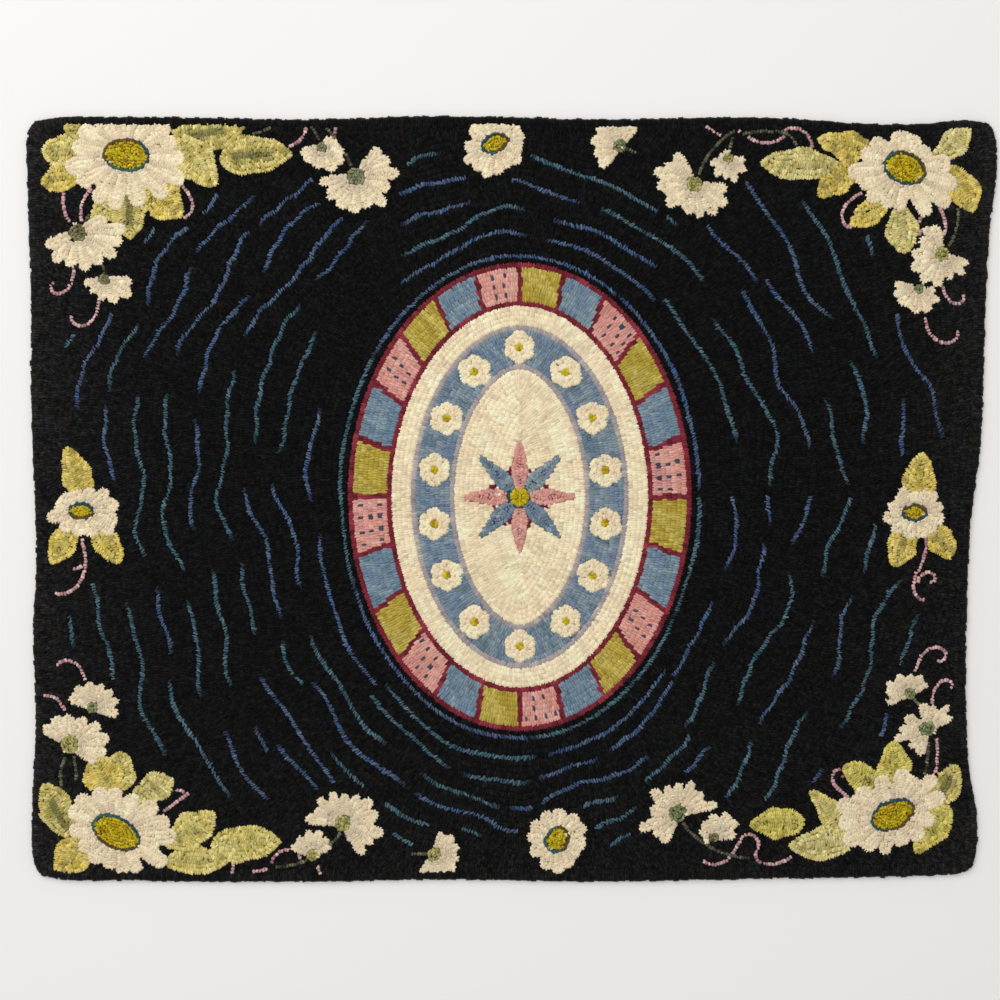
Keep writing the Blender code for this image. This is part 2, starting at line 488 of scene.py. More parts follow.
# Blossoms from the side have a green cup where the daisies have a disc
Blossom = namedtuple("Blossom", "column row floor cup petals")
blossoms = [
    Blossom(322, 147, 5, "cupGrey", [(199, 22, 24), (225, 22, 20), (258, 22, 22), (296, 27, 20),
        (322, 27, 18), (348, 22, 18), (18, 17, 20), (44, 13, 20)]),
    Blossom(356, 176, 9, "cupGrey", [(190, 37, 12), (204, 28, 14), (218, 36, 13), (244, 36, 16),
        (268, 37, 16), (292, 34, 16), (315, 42, 12), (340, 36, 16), (4, 44, 11), (28, 38, 14), (50, 37, 12)]),
    Blossom(77, 232, 9, "cupDark", [(204, 35, 15), (232, 38, 15), (258, 36, 14), (284, 40, 14), (307, 40, 13),
        (328, 46, 12), (348, 46, 12), (4, 48, 12), (26, 32, 16)]),
    Blossom(104, 279, 6, "cupDark", [(192, 21, 18), (222, 19, 18), (262, 22, 18), (296, 27, 16),
        (328, 32, 16), (354, 28, 14)]),
    Blossom(620, 146, 6, "cupSage", [(226, 29, 14), (200, 27, 14), (168, 30, 14), (140, 29, 14),
        (112, 27, 18), (84, 25, 16), (54, 26, 14)]),
    Blossom(695, 184, 8, "cupLime", [(122, 37, 14), (144, 36, 12), (162, 43, 11), (184, 38, 13),
        (219, 36, 12), (258, 31, 13), (280, 34, 12), (304, 37, 13), (328, 38, 13), (352, 33, 12)]),
    Blossom(729, 158, 5, "cupLime", [(198, 20, 20), (232, 23, 18), (262, 21, 14), (286, 25, 14),
        (320, 22, 18), (352, 17, 18), (140, 9, 60)]),
    Blossom(943, 254, 7, "cupLime", [(106, 30, 14), (124, 33, 14), (146, 27, 16), (180, 31, 16),
        (206, 35, 14), (234, 35, 14), (260, 33, 13), (288, 27, 13), (316, 30, 12), (340, 28, 12)]),
    Blossom(919, 289, 5, "cupSage", [(168, 25, 16), (192, 26, 14), (216, 25, 16), (262, 25, 18),
        (296, 25, 16), (328, 24, 16), (354, 17, 16)]),
    Blossom(92, 708, 6, "cupSage", [(154, 25, 18), (126, 27, 16), (96, 27, 16), (66, 26, 14), (40, 27, 14),
        (16, 28, 12), (346, 27, 12)]),
    Blossom(69, 745, 9, "cupLime", [(145, 32, 12), (118, 32, 14), (92, 31, 13), (60, 31, 13), (34, 37, 14),
        (10, 41, 14), (346, 38, 12), (328, 32, 12)]),
    Blossom(911, 694, 6, "cupSage", [(200, 26, 14), (176, 25, 13), (156, 27, 12), (124, 24, 16), (92, 20, 16),
        (58, 22, 16), (30, 20, 14)]),
    Blossom(928, 729, 8, "cupSage", [(100, 26, 18), (72, 24, 14), (48, 32, 8), (26, 27, 14), (152, 26, 16),
        (180, 29, 12), (198, 36, 11), (226, 26, 14), (252, 28, 12)]),
    Blossom(343, 824, 8, "cupLime", [(172, 38, 11), (154, 32, 13), (134, 36, 12), (110, 34, 14), (86, 31, 14),
        (62, 33, 13), (40, 38, 13), (16, 37, 14), (346, 42, 12), (326, 36, 12), (304, 37, 13)]),
    Blossom(312, 856, 6, "cupLime", [(154, 24, 16), (128, 24, 16), (98, 26, 16), (72, 27, 14), (48, 24, 14),
        (26, 20, 14)]),
    Blossom(434, 855, 7, "cupLime", [(70, 25, 16), (46, 27, 14), (18, 27, 16), (350, 26, 14), (326, 27, 14),
        (298, 25, 14), (270, 22, 16), (236, 22, 14)]),
    Blossom(678, 814, 9, "cupSage", [(138, 36, 12), (112, 31, 13), (88, 31, 13), (66, 36, 12), (42, 33, 12),
        (14, 41, 9), (172, 29, 14), (202, 42, 11), (224, 33, 11), (243, 33, 12)]),
    Blossom(714, 838, 4, "cupDark", [(200, 10, 20), (152, 16, 20), (120, 20, 22), (90, 23, 20), (60, 29, 20),
        (35, 29, 18), (8, 22, 18)]),
]

Leaf = namedtuple("Leaf", "column row heading length width bend widest wool")
leaves = [Leaf(*row) for row in [
    (82, 156, 168, 40, 32, 20, 0.55, "leafPale"), (80, 177, 186, 38, 27, 10, 0.55, "leafGold"),
    (96, 142, 142, 42, 26, -20, 0.5, "leafPale"), (130, 190, 268, 48, 36, 8, 0.4, "leafSmudged"),
    (126, 196, 214, 42, 26, 10, 0.5, "leafPale"), (146, 182, 314, 48, 38, 10, 0.5, "leafGold"),
    (176, 134, 306, 64, 38, 10, 0.5, "leafPale"), (168, 138, 8, 80, 36, 16, 0.5, "leafSmudged"),
    (221, 160, 8, 70, 40, -18, 0.42, "leafSmudged"), (838, 164, 180, 76, 33, -4, 0.5, "leafSage"),
    (876, 152, 168, 58, 30, -4, 0.46, "leafGold"), (864, 162, 214, 56, 29, 14, 0.55, "leafGold"),
    (892, 196, 216, 49, 26, 0, 0.5, "leafGold"), (902, 202, 271, 50, 33, 8, 0.58, "leafSage"),
    (944, 166, 310, 54, 32, -34, 0.55, "leafGold"), (930, 164, 40, 52, 27, 4, 0.6, "leafSage"),
    (112, 798, 114, 46, 38, 0, 0.5, "leafGold"), (112, 796, 76, 44, 36, 10, 0.5, "leafPale"),
    (128, 800, 24, 48, 31, 0, 0.62, "leafSage"), (74, 836, 124, 60, 36, -26, 0.52, "leafSmudged"),
    (86, 838, 232, 46, 36, 4, 0.5, "leafGold"), (166, 846, 32, 58, 36, 8, 0.5, "leafPale"),
    (164, 862, 2, 62, 30, -12, 0.5, "leafPale"), (212, 846, 4, 68, 38, 0, 0.44, "leafPale"),
    (896, 786, 93, 44, 33, -4, 0.42, "leafLime"), (882, 786, 154, 42, 27, -4, 0.55, "leafLime"),
    (840, 832, 120, 50, 24, 30, 0.36, "leafPale"), (854, 842, 184, 64, 33, 4, 0.45, "leafSage"),
    (804, 822, 183, 53, 32, 0, 0.45, "leafLime"), (930, 808, 54, 50, 30, 18, 0.52, "leafSmudged"),
    (950, 808, 230, 56, 32, 18, 0.42, "leafLime"), (84, 495, 110, 50, 31, 4, 0.36, "leafGold"),
    (76, 526, 234, 44, 27, 12, 0.5, "leafGold"), (94, 526, 306, 44, 27, -4, 0.5, "leafGold"),
    (918, 498, 84, 44, 33, 0, 0.42, "leafGold"), (911, 527, 246, 42, 30, 0, 0.5, "leafGold"),
    (929, 524, 306, 40, 27, -20, 0.55, "leafGold"),
]]

Curl = namedtuple("Curl", "column row heading length bend curl", defaults=[0])
stems = [Curl(*row) for row in [
    (322, 146, 112, 26, 14), (353, 172, 106, 66, 38), (84, 224, 62, 14, 0), (104, 274, 95, 12, 0),
    (626, 148, 336, 12, 0), (698, 178, 74, 62, -44), (742, 134, 14, 32, -20), (775, 131, 4, 28, -76),
    (729, 154, 78, 18, 0), (945, 251, 50, 46, 46), (66, 757, 238, 36, 54), (74, 756, 276, 24, 0),
    (929, 736, 272, 42, -18), (914, 699, 312, 10, 0), (341, 832, 236, 78, -56), (427, 854, 184, 16, -10),
    (682, 822, 306, 80, 52), (252, 134, 12, 26, 20),
]]
tendrils = [Curl(*row) for row in [
    (64, 192, 256, 32, 50), (92, 188, 222, 40, 66), (173, 177, 318, 62, -16, -200),
    (74, 269, 266, 50, -50, -200), (98, 294, 276, 56, -64, -130), (279, 146, 348, 40, 100),
    (336, 124, 262, 10, 0), (706, 126, 322, 18, 12), (738, 130, 326, 24, 6), (760, 142, 346, 30, 62),
    (784, 130, 26, 40, -116), (864, 192, 202, 58, 62, 150), (921, 213, 268, 26, 0),
    (937, 205, 314, 36, -66), (943, 286, 280, 38, 60, 150), (925, 316, 274, 58, 84, 110),
    (81, 538, 290, 76, -60, -70), (85, 566, 196, 12, 0), (926, 537, 275, 36, -34),
    (917, 571, 250, 36, 30, 90), (918, 583, 80, 34, -130, -150), (85, 681, 97, 42, 84, 60),
    (66, 718, 96, 42, 78, 50), (163, 812, 36, 32, 0), (188, 793, 164, 13, 0), (232, 878, 85, 14, 0),
    (271, 864, 72, 44, -116, -60), (252, 872, 8, 16, 0), (317, 866, 296, 10, 0),
    (915, 673, 76, 62, -50, -240), (932, 705, 82, 44, -10, -210), (937, 737, 276, 36, -16),
    (852, 800, 142, 54, 10, -310), (703, 861, 325, 24, 70), (726, 862, 50, 32, 14),
    (744, 836, 30, 26, -150), (757, 850, 240, 16, 100), (762, 863, 345, 32, 55),
]]


def creamShade(flower, seed):
    # cream, greyer and pinker in the folds between petals, most of all near the middle
    def shade(points, depth):
        away = points - charted(flower)
        turns = np.arctan2(away[:, 1], away[:, 0])
        outward = np.hypot(*away.T) / chart["square"] / petalReach(turns, flower)
        colours = dyed(points, dyes["cream"], seed, 30 * mm, 0.06)
        greyed = dyed(points, dyes["creamShadow"], seed + 1, 20 * mm, 0.06)
        share = (depth < 0.3) * np.clip(1.25 - 1.15 * outward, 0, 0.75) + np.clip(0.6 - outward, 0, 0.3)
        share = np.clip(share + sway(points, 16 * mm, seed + 2) * 0.12, 0, 0.8)[:, None]
        return blend(colours, greyed, share)
    return shade


def discShade(seed):
    # gold with a few orange and olive loops
    def shade(points, depth):
        colours = dyed(points, dyes["gold"], seed, 14 * mm, 0.14)
        flecks = rng.random(len(points)) < 0.08
        colours[flecks] = dyed(points[flecks], dyes["goldFleck"], seed, 14 * mm, 0.1)
        return colours
    return shade


def rimShade(centre, blueSide):
    # the thin row round a disc: blue on one side, olive brown on the other
    def shade(points, depth):
        away = points - centre
        facing = np.cos(np.arctan2(away[:, 1], away[:, 0]) - math.radians(blueSide))
        blue = dyed(points, dyes["discEdge"], 1)
        return blend(dyed(points, dyes["discShadow"], 2), blue, np.clip(facing * 2 + 0.9, 0, 1)[:, None])
    return shade


def leafShade(wool, rib, seed):
    # patchy green and gold, with a smudge of olive along part of the midrib
    smudge = rib[24:84:4]
    strength = 0.8 if wool == "leafSmudged" else 0.25

    def shade(points, depth):
        colours = dyed(points, dyes[wool], seed, 17 * mm, 0.12)
        vein = dyed(points, dyes["vein"], seed, 20 * mm, 0.12)
        share = np.clip(1.3 - distanceTo(points, smudge) / (5.5 * mm), 0, 1) * strength
        return blend(colours, vein, share[:, None])
    return shade


def plainShade(wool, seed=5, reach=30 * mm, uneven=0.09):
    def shade(points, depth):
        return dyed(points, dyes[wool], seed, reach, uneven)
    return shade


# How long and wide the loops of each motif are, against a loop of the ground
motifLoops = {
    "petal": (1.0, 0.82),
    "disc": (0.64, 0.5),
    "discRim": (0.85, 0.46),
    "cup": (0.7, 0.52),
    "leaf": (0.86, 0.78),
    "stem": (0.84, 0.56),
    "tendril": (0.95, 0.58),
    "starButton": (0.9, 0.75),
    "starRing": (1, 0.5),
    "starPoint": (1, 0.85),
    "starOutline": (1, 0.6),
    "smallButton": (0.9, 0.7),
    "oddInOval": (0.85, 0.55),
    "oddInGround": (0.9, 0.75),
}
outlined = []       # motifs that the ground is hooked round


def hookDiscs():
    for n, daisy in enumerate(daisies):
        centre, tilt = charted(daisy), math.radians(daisy.tilt)
        half = np.array([daisy.discLong, daisy.discDeep]) * chart["square"]
        rim = ovalPath(centre, half + rng.uniform(-0.5, 0.5, 2) * mm, tilt)
        points, turns, marks = evenly(rim, hooking["loopGap"] * 0.9, True)
        points += rng.normal(0, 0.3 * mm, points.shape)
        shade = rimShade(centre, daisy.blueSide)
        hook("daisy_discs", points, turns, shade, motifLoops["discRim"], core=0.3, room=(0.9, 0.45))
        inner = ovalPath(centre, half - 0.9 * mm, tilt)
        hookShape("daisy_discs", inner, centre, discShade(n), jumble=0.9, size=motifLoops["disc"])
    for n, blossom in enumerate(blossoms):
        centre, shade = charted(blossom), plainShade(blossom.cup, n, 12 * mm, 0.25)
        cup = roundFlower(centre, max(blossom.floor, 5) * chart["square"], 3 + n % 2, 0.3, n)
        hookShape("green_cups_and_stems", cup, centre, shade, jumble=1.0, size=motifLoops["cup"])


def hookPetals():
    for n, flower in enumerate(daisies + blossoms):
        centre, shade, turns = charted(flower), creamShade(flower, n), fullTurn(1200)
        for rim, heart in petalShapes(flower):
            hookShape("cream_petals", rim, heart, shade, size=motifLoops["petal"])
        rim = centre + towards(turns) * (petalReach(turns, flower) * chart["square"])[:, None]
        hookShape("cream_petals", rim, centre + (rim - centre) * 0.3, shade, size=motifLoops["petal"])
        outlined.append(smoothed(rim))


def hookLeaves():
    for n, leaf in enumerate(leaves):
        rim, rib = leafShape(leaf, n)
        rim = rib + (rim - rib) * (1 - 0.4 * mm / np.maximum(np.hypot(*(rim - rib).T), mm))[:, None]
        shade, heading = leafShade(leaf.wool, rib, n), math.radians(leaf.heading)
        hookShape("leaves", rim, rib, shade, lean=0.3, heading=heading, size=motifLoops["leaf"])
        outlined.append(smoothed(rim))


def hookLines(piece, curls, wool, uneven, spread):
    # loops a little apart, like beads
    size = motifLoops[wool]
    for n, curl in enumerate(curls):
        points, turns, marks = evenly(curlPath(curl), hooking["loopGap"] * spread, False)
        turns = turns + rng.normal(0, 0.25, len(turns))
        shade = plainShade(wool, n, 20 * mm, uneven)
        hook(piece, points, turns, shade, size, core=0.5, room=(spread, size[1]))


hookDiscs()
hookPetals()
hookLeaves()
hookLines("green_cups_and_stems", stems, "stem", 0.25, 1.1)
hookLines("pink_tendrils", tendrils, "tendril", 0.2, 1.25)
print("border flowers hooked")


# The oval medallion in the middle

oval = {
    "middle": np.array([8, 2]) * mm,
    "half": np.array([165, 225]) * mm,
    "patches": 24,
    "patchRows": (1, 7),
    "bandRows": (14, 20),
    "greyRows": (13, 21),
}
ovalRim = smoothed(ovalPath(oval["middle"], oval["half"], count=4000))

star = {
    "points": 8,
    "reach": 53 * mm,
    "waist": 24 * mm,
    "apart": 1.5 * mm,
    "button": 9 * mm,
    "ring": 1.14,               # against the button
    "outline": 1.3 * mm,        # from a point's rim to the row round it
    "wools": ("pink", "dustyBlue"),
}
smallDaisies = {"count": 14, "button": 4.6 * mm, "reach": 16 * mm, "petals": 6, "notch": 0.36}


def sideOf(points, middle, half):
    # 0 to 3: left, near, right and far
    across, along = (points[:, axis] - middle[axis] for axis in (0, 1))
    return np.floor(np.arctan2(along / half[1], across / half[0]) / math.tau * 4 + 2.5).astype(int) % 4


def starPoint(heading, halfWidth):
    # one kite shaped point of the star, and the fold down its middle
    steps = np.linspace(0, 1, 60)
    along = np.interp(steps, (0, 0.4, 1), (0, star["waist"], star["reach"]))
    half = np.interp(steps, (0, 0.4, 1), (0, halfWidth, 0))
    turn = np.array([[math.cos(heading), math.sin(heading)], [-math.sin(heading), math.cos(heading)]])
    for aside in (half, half * 0):
        there, back = np.stack([along, -aside], axis=1), np.stack([along, aside], axis=1)[::-1]
        yield np.concatenate([there, back]) @ turn + oval["middle"]


def hookStar():
    centre = oval["middle"]
    button = roundFlower(centre, star["button"], 5, 0.02, 3)
    hookShape("star", button, centre, discShade(7), size=motifLoops["starButton"])
    ring, turns, marks = evenly(centre + (button - centre) * star["ring"], hooking["loopGap"], True)
    hook("star", ring, turns, plainShade("discEdge", 3, 50 * mm), motifLoops["starRing"])
    halfWidth = star["waist"] * math.tan(math.pi / star["points"]) - star["apart"]
    shapes = []
    for n in range(star["points"]):
        heading = n * math.tau / star["points"] + math.pi / 2
        outline, fold = starPoint(heading, halfWidth)
        hookShape("star", outline, fold, plainShade(star["wools"][n % 2], n), lean=0.5, heading=heading,
                  size=motifLoops["starPoint"])
        shapes.append(smoothed(outline))
    for outline in shapes:
        for points, turns in rowBeside(outline, -star["outline"], 1.2 * mm):
            hook("star", points, turns, plainShade("maroon", 4, 50 * mm), motifLoops["starOutline"], core=0.5)


def hookSmallDaisies():
    middle = (sum(oval["bandRows"]) / 2 + 0.5) * hooking["rowGap"]
    places = smoothed(beside(ovalRim, middle), 1 * mm)
    for n in range(smallDaisies["count"]):
        centre = places[int((n + 0.5) * len(places) / smallDaisies["count"])]
        button = roundFlower(centre, smallDaisies["button"], 5, 0.02, n)
        hookShape("small_daisies", button, centre, discShade(n), size=motifLoops["smallButton"])
        petals = roundFlower(centre, smallDaisies["reach"], smallDaisies["petals"],
                             smallDaisies["notch"], n + 9)
        shade = plainShade("cream", n, 30 * mm, 0.06)
        hookShape("small_daisies", petals, button, shade, size=motifLoops["petal"])


patchEdges = rng.uniform(-0.10, 0.10, oval["patches"])
patchSlants = rng.uniform(-0.03, 0.03, oval["patches"])


def layOval(points, turns, row, size=(1, 1)):
    # the wool of each loop follows from how deep and where round the oval it stands
    out = (points - oval["middle"]) / oval["half"]
    around = np.arctan2(out[:, 1], out[:, 0])
    firstPatch, lastPatch = oval["patchRows"]
    firstBand, lastBand = oval["bandRows"]
    place = (around / math.tau % 1) * oval["patches"]
    patch = np.floor(place).astype(int) % oval["patches"]
    place = place - np.floor(place) - 0.5
    slide = patchEdges[patch] + patchSlants[patch] * (row - 4)
    inPatches = (row >= firstPatch) & (row <= lastPatch)
    seam = inPatches & (np.abs(place - 0.5 * np.sign(place + slide)) < 0.05)
    seam |= (row == firstPatch - 1) | (row == lastPatch + 1)
    dots = (np.abs((place * 4) % 1 - 0.5) < 0.11) & (row % 2 == 0) & (np.abs(place) < 0.36) & (patch % 3 == 0)
    band = (row >= firstBand) & (row <= lastBand)
    grey = np.isin(row, oval["greyRows"])
    beds = [
        ("maroon_outlines", seam, "maroon"),
        ("patches", inPatches & ~seam & dots, "seed"),
        ("patches", inPatches & ~seam & ~dots & (patch % 3 == 0), "pink"),
        ("patches", inPatches & ~seam & (patch % 3 == 1), "patchBlue"),
        ("patches", inPatches & ~seam & (patch % 3 == 2), "patchGold"),
        ("blue_band", band, "dustyBlue"),
        ("cream_field", grey, "greyLine"),
        ("cream_field", ~(seam | inPatches | band | grey), "cream"),
    ]
    for piece, mine, wool in beds:
        if mine.any():
            keep(piece, points[mine], turns[mine], dyed(points[mine], dyes[wool], 6, 35 * mm), size)


def hookOvalRows():
    # one ring after another from the rim to the middle
    gap = hooking["rowGap"]
    for row in range(int(oval["half"][0] / gap)):
        depth = (row + 0.5) * gap
        for points, turns in rowBeside(ovalRim, depth, depth * 0.985):
            free = settle(points, turns)
            layOval(points[free], turns[free], np.full(free.sum(), row))
    grid = [np.arange(-half, half, canvas["square"]) for half in oval["half"]]
    spots = np.stack(np.meshgrid(*grid), axis=2).reshape(-1, 2)
    spots = spots[((spots / oval["half"]) ** 2).sum(axis=1) < 0.98] + oval["middle"]
    spots = spots[bareSpots(spots)]
    turns = rng.uniform(0, math.pi, len(spots))
    order = settleOneByOne(spots, turns, motifLoops["oddInOval"], hooking["oddCore"])
    depth = np.array([distanceTo(spots[n:n + 1], ovalRim)[0] for n in order])
    layOval(spots[order], turns[order], (depth / gap).astype(int), motifLoops["oddInOval"])


# The black ground and its echo rows


ground = {
    "edgeRows": 2,
    "rows": 104,
    "echoEvery": (6, 4, 7, 5),      # rows from one echo to the next, to the left, near, right and far side
    "echoFirst": 1,
    "strokeLength": (60 * mm, 180 * mm),
    "strokeGap": (13 * mm, 46 * mm),
    "gapShare": (1.0, 0.5, 1.0, 1.0),   # by side, as above
    "strokesInside": 35 * mm,
    "clearOfMotifs": 7 * mm,
    "strokesApart": 9 * mm,
    "strokeUneven": 0.4 * mm,       # how far its loops stand aside
    "strokeTwist": 0.35,
    "shortest": 6,                  # loops in a stroke
    "waver": 5.0 * mm,
    "waverLength": 150 * mm,
    "waverDrift": 0.13,             # from row to row
    "settledIn": 60 * mm,           # nearer to the medallion the rows waver less
    "loopSpread": 1.05,
    "strokeLoop": (0.68, 0.84),
    "strokeTurn": 0.45,             # the way its loops slant, to one side and then the other
}


def nearMotifs():
    # the squares that lie close to any motif already hooked
    reach = int(ground["clearOfMotifs"] / canvas["square"])
    near = hooked.copy()
    for axis in (0, 1):
        padding = [(reach + 1, reach) if n == axis else (0, 0) for n in (0, 1)]
        total = np.cumsum(np.pad(near, padding), axis=axis)
        ahead = np.take(total, np.arange(2 * reach + 1, total.shape[axis]), axis=axis)
        near = ahead - np.take(total, np.arange(ahead.shape[axis]), axis=axis) > 0
    return near


def markRound(grid, points, reach):
    steps = np.arange(-reach, reach, canvas["square"])
    across, along = [side.ravel() for side in np.meshgrid(steps, steps)]
    grid[squaresAt(points[:, :1] + across, points[:, 1:] + along)] = True


def longRuns(mask, least):
    # only the runs of at least so many in a row
    bounds = np.flatnonzero(np.diff(np.concatenate([[0], mask.astype(int), [0]])))
    kept = np.zeros(len(mask), dtype=bool)
    for first, last in zip(bounds[::2], bounds[1::2]):
        kept[first:last] = last - first >= least
    return kept


def wave(travel, length, start, drift=0.0):
    return np.sin(math.tau * travel / length + start + drift)


def wavered(path, outward, row):
    # rows wander a little along their way, much alike from one row to the next
    x, y = path[:, 0], path[:, 1]
    length, drift = ground["waverLength"], ground["waverDrift"] * row
    upright = wave(y + 0.22 * x, length, 1.0, drift) + 0.6 * wave(y - 0.3 * x, length * 0.57, 2.2)
    level = wave(x + 0.25 * y, length, 0.4, -drift) + 0.6 * wave(x - 0.28 * y, length * 0.6, 1.3)
    slow = wave(y + 0.12 * x, length * 2.6, 0.5) * 1.5 + 0.2 * wave(y + 0.9 * x, length * 0.24, 0.3 * row)
    push = upright * outward[:, 0] ** 2 + level * outward[:, 1] ** 2 + slow
    return path + outward * (push * ground["waver"])[:, None]


def strokeShade(points, marks, row):
    # broken strokes of blue and teal, thin and dull where each begins and ends
    colours = groundShade(points, marks)
    echo = np.zeros(len(points), dtype=bool)
    position = rng.uniform(0, 0.06)
    turn = row // 5 % 2
    first = row == ground["echoFirst"]
    while position < marks[-1]:
        length = rng.uniform(*ground["strokeLength"]) * (1.8 if first else 1)
        inside = (marks > position) & (marks < position + length)
        middle = points[inside].mean(axis=0) if inside.any() else oval["middle"]
        side = sideOf(middle[None], oval["middle"], oval["half"])[0]
        inside &= row % ground["echoEvery"][side] == ground["echoFirst"]
        ends = np.minimum(marks - position, position + length - marks)[inside]
        wool = dyed(points[inside], dyes[("echoBlue", "echoTeal")[turn % 2]], row, 26 * mm, 0.26)
        colours[inside] = blend(colours[inside], wool, np.clip(ends / (9 * mm), 0.25, 1)[:, None])
        echo |= inside
        gap = rng.uniform(*ground["strokeGap"]) * ground["gapShare"][side]
        position += length + (0 if first else gap)
        turn += int(rng.random() < 0.7)
    return colours, echo


def hookRoundMotifs():
    gap = hooking["rowGap"]
    for outline in outlined:
        for points, turns in rowBeside(outline, -0.5 * gap, 0.47 * gap):
            free = settle(points, turns) & insideRug(points, gap * 0.4)
            keep("ground", points[free], turns[free], groundShade(points[free], 0))


def groundPath(row):
    turns = fullTurn(6000)
    outward = np.stack([np.cos(turns) * oval["half"][1], np.sin(turns) * oval["half"][0]], axis=1)
    outward /= np.hypot(outward[:, 0], outward[:, 1])[:, None]
    distance = (row + 0.5) * hooking["rowGap"]
    path = ovalPath(oval["middle"], oval["half"], count=6000) + outward * distance
    return path + (wavered(path, outward, row) - path) * min(distance / ground["settledIn"], 1.0)


def hookEchoes():
    for row in range(ground["rows"]):
        if not any(row % every == ground["echoFirst"] for every in ground["echoEvery"]):
            continue
        points, turns, marks = evenly(groundPath(row), hooking["loopGap"], True)
        colours, echo = strokeShade(points, marks, row)
        echo &= insideRug(points, ground["strokesInside"]) & ~noStrokes[squaresAt(points[:, 0], points[:, 1])]
        echo = longRuns(echo, ground["shortest"])
        echo[echo] = settle(points[echo], turns[echo], (1, 0.8), 0.3)
        points, turns = points[echo], turns[echo]
        markRound(noStrokes, points, ground["strokesApart"])
        points += leftOf(turns) * rng.normal(0, ground["strokeUneven"], (len(points), 1))
        turns += ground["strokeTurn"] * (-1) ** (row // 5) + rng.normal(0, ground["strokeTwist"], len(turns))
        sizes = np.array(ground["strokeLoop"]) * rng.uniform(0.8, 1.15, (len(points), 1))
        keep("echo_strokes", points, turns, colours[echo], sizes)


def hookGroundRows():
    spread = ground["loopSpread"]
    for row in range(ground["rows"]):
        points, turns, marks = evenly(groundPath(row), hooking["loopGap"] * spread, True)
        inside = insideRug(points, hooking["rowGap"] * ground["edgeRows"])
        hook("ground", points[inside], turns[inside], groundShade, room=(spread, 1))


def fillGround():
    spots = centresOf(*np.nonzero(~hooked))
    spots = spots[insideRug(spots, 1.6 * mm)]
    spots = spots[np.hypot(*((spots - oval["middle"]) / oval["half"]).T) > 1]
    away = spots - oval["middle"]
    turns = np.arctan2(away[:, 1], away[:, 0]) + math.pi / 2
    fillGaps("ground", spots, turns, groundShade, motifLoops["oddInGround"], 0.42)


noStrokes = nearMotifs()
hookStar()
hookSmallDaisies()
hookOvalRows()
print("medallion hooked")
hookEdgeRow(1)
hookRoundMotifs()
hookEchoes()
hookGroundRows()
fillGround()
print("ground hooked:", {piece: sum(len(part[0]) for part in parts) for piece, parts in wools.items()})


# Materials

def feed(tree, node, inputs):
    # each input gets a socket that feeds it, or a plain value
    for name, source in inputs.items():
        if isinstance(source, bpy.types.NodeSocket):
            tree.links.new(source, node.inputs[name])
        else:
            node.inputs[name].default_value = source


def addNode(tree, kind, inputs, **settings):
    node = tree.nodes.new(kind)
    for name, value in settings.items():
        setattr(node, name, value)
    feed(tree, node, inputs)
    return node


def newMaterial(name):
    material = bpy.data.materials.new(name)
    material.use_nodes = True
    tree = material.node_tree
    return material, tree, tree.nodes["Principled BSDF"]


def woolStrip(name, heather, grainSize, fuzz, gloss, paintedRootShade, litFrom):
    # Wool flannel, woven, washed until it felts, dyed by the strip and pulled up in loops. The eye gets a
    # soft matt top, slightly paler at a grazing angle, with single fibres of other shades in it.
    material, tree, shader = newMaterial(name)
    here = addNode(tree, "ShaderNodeTexCoord", {}).outputs["Object"]
    colour = addNode(tree, "ShaderNodeAttribute", {}, attribute_name="dye")
    fibres = addNode(tree, "ShaderNodeTexNoise", {
        "Vector": here, "Scale": 1 / grainSize, "Detail": 2.0, "Roughness": 0.6})
    strength = addNode(tree, "ShaderNodeMapRange", {
        "Value": fibres.outputs["Fac"], "From Min": 0.25, "From Max": 0.75,
        "To Min": 1.0 - heather, "To Max": 1.0 + heather})
    # painted shade: each loop's dye darkens from its crown down towards its foot, standing in for the shadow
    # between the loops; paintedRootShade is the share of the dye left at the foot
    height = addNode(tree, "ShaderNodeSeparateXYZ", {"Vector": here})
    lit = addNode(tree, "ShaderNodeMapRange", {
        "Value": height.outputs["Z"], "From Min": hooking["pileTop"] * 0.4,
        "From Max": hooking["pileTop"] * litFrom, "To Min": paintedRootShade, "To Max": 1.0})
    tone = addNode(tree, "ShaderNodeMath", {
        0: strength.outputs["Result"], 1: lit.outputs["Result"]}, operation="MULTIPLY")
    toned = addNode(tree, "ShaderNodeVectorMath", {
        "Vector": colour.outputs["Color"], "Scale": tone.outputs["Value"]}, operation="SCALE")
    strip = addNode(tree, "ShaderNodeUVMap", {}, uv_map="strip")
    grain = addNode(tree, "ShaderNodeMapping", {"Vector": strip.outputs["UV"], "Scale": (1.0, 2.6, 1.0)})
    nap = addNode(tree, "ShaderNodeTexNoise", {
        "Vector": grain.outputs["Vector"], "Scale": 1.7, "Detail": 3.0, "Roughness": 0.65})
    bump = addNode(tree, "ShaderNodeBump", {
        "Height": nap.outputs["Fac"], "Strength": 0.55, "Distance": 0.35 * mm})
    feed(tree, shader, {
        "Base Color": toned.outputs["Vector"], "Normal": bump.outputs["Normal"], "Roughness": 0.92,
        "Specular IOR Level": gloss, "Sheen Weight": fuzz, "Sheen Roughness": 0.45})
    return material


def opaque(hexCode):
    return (*linear(hexCode), 1)


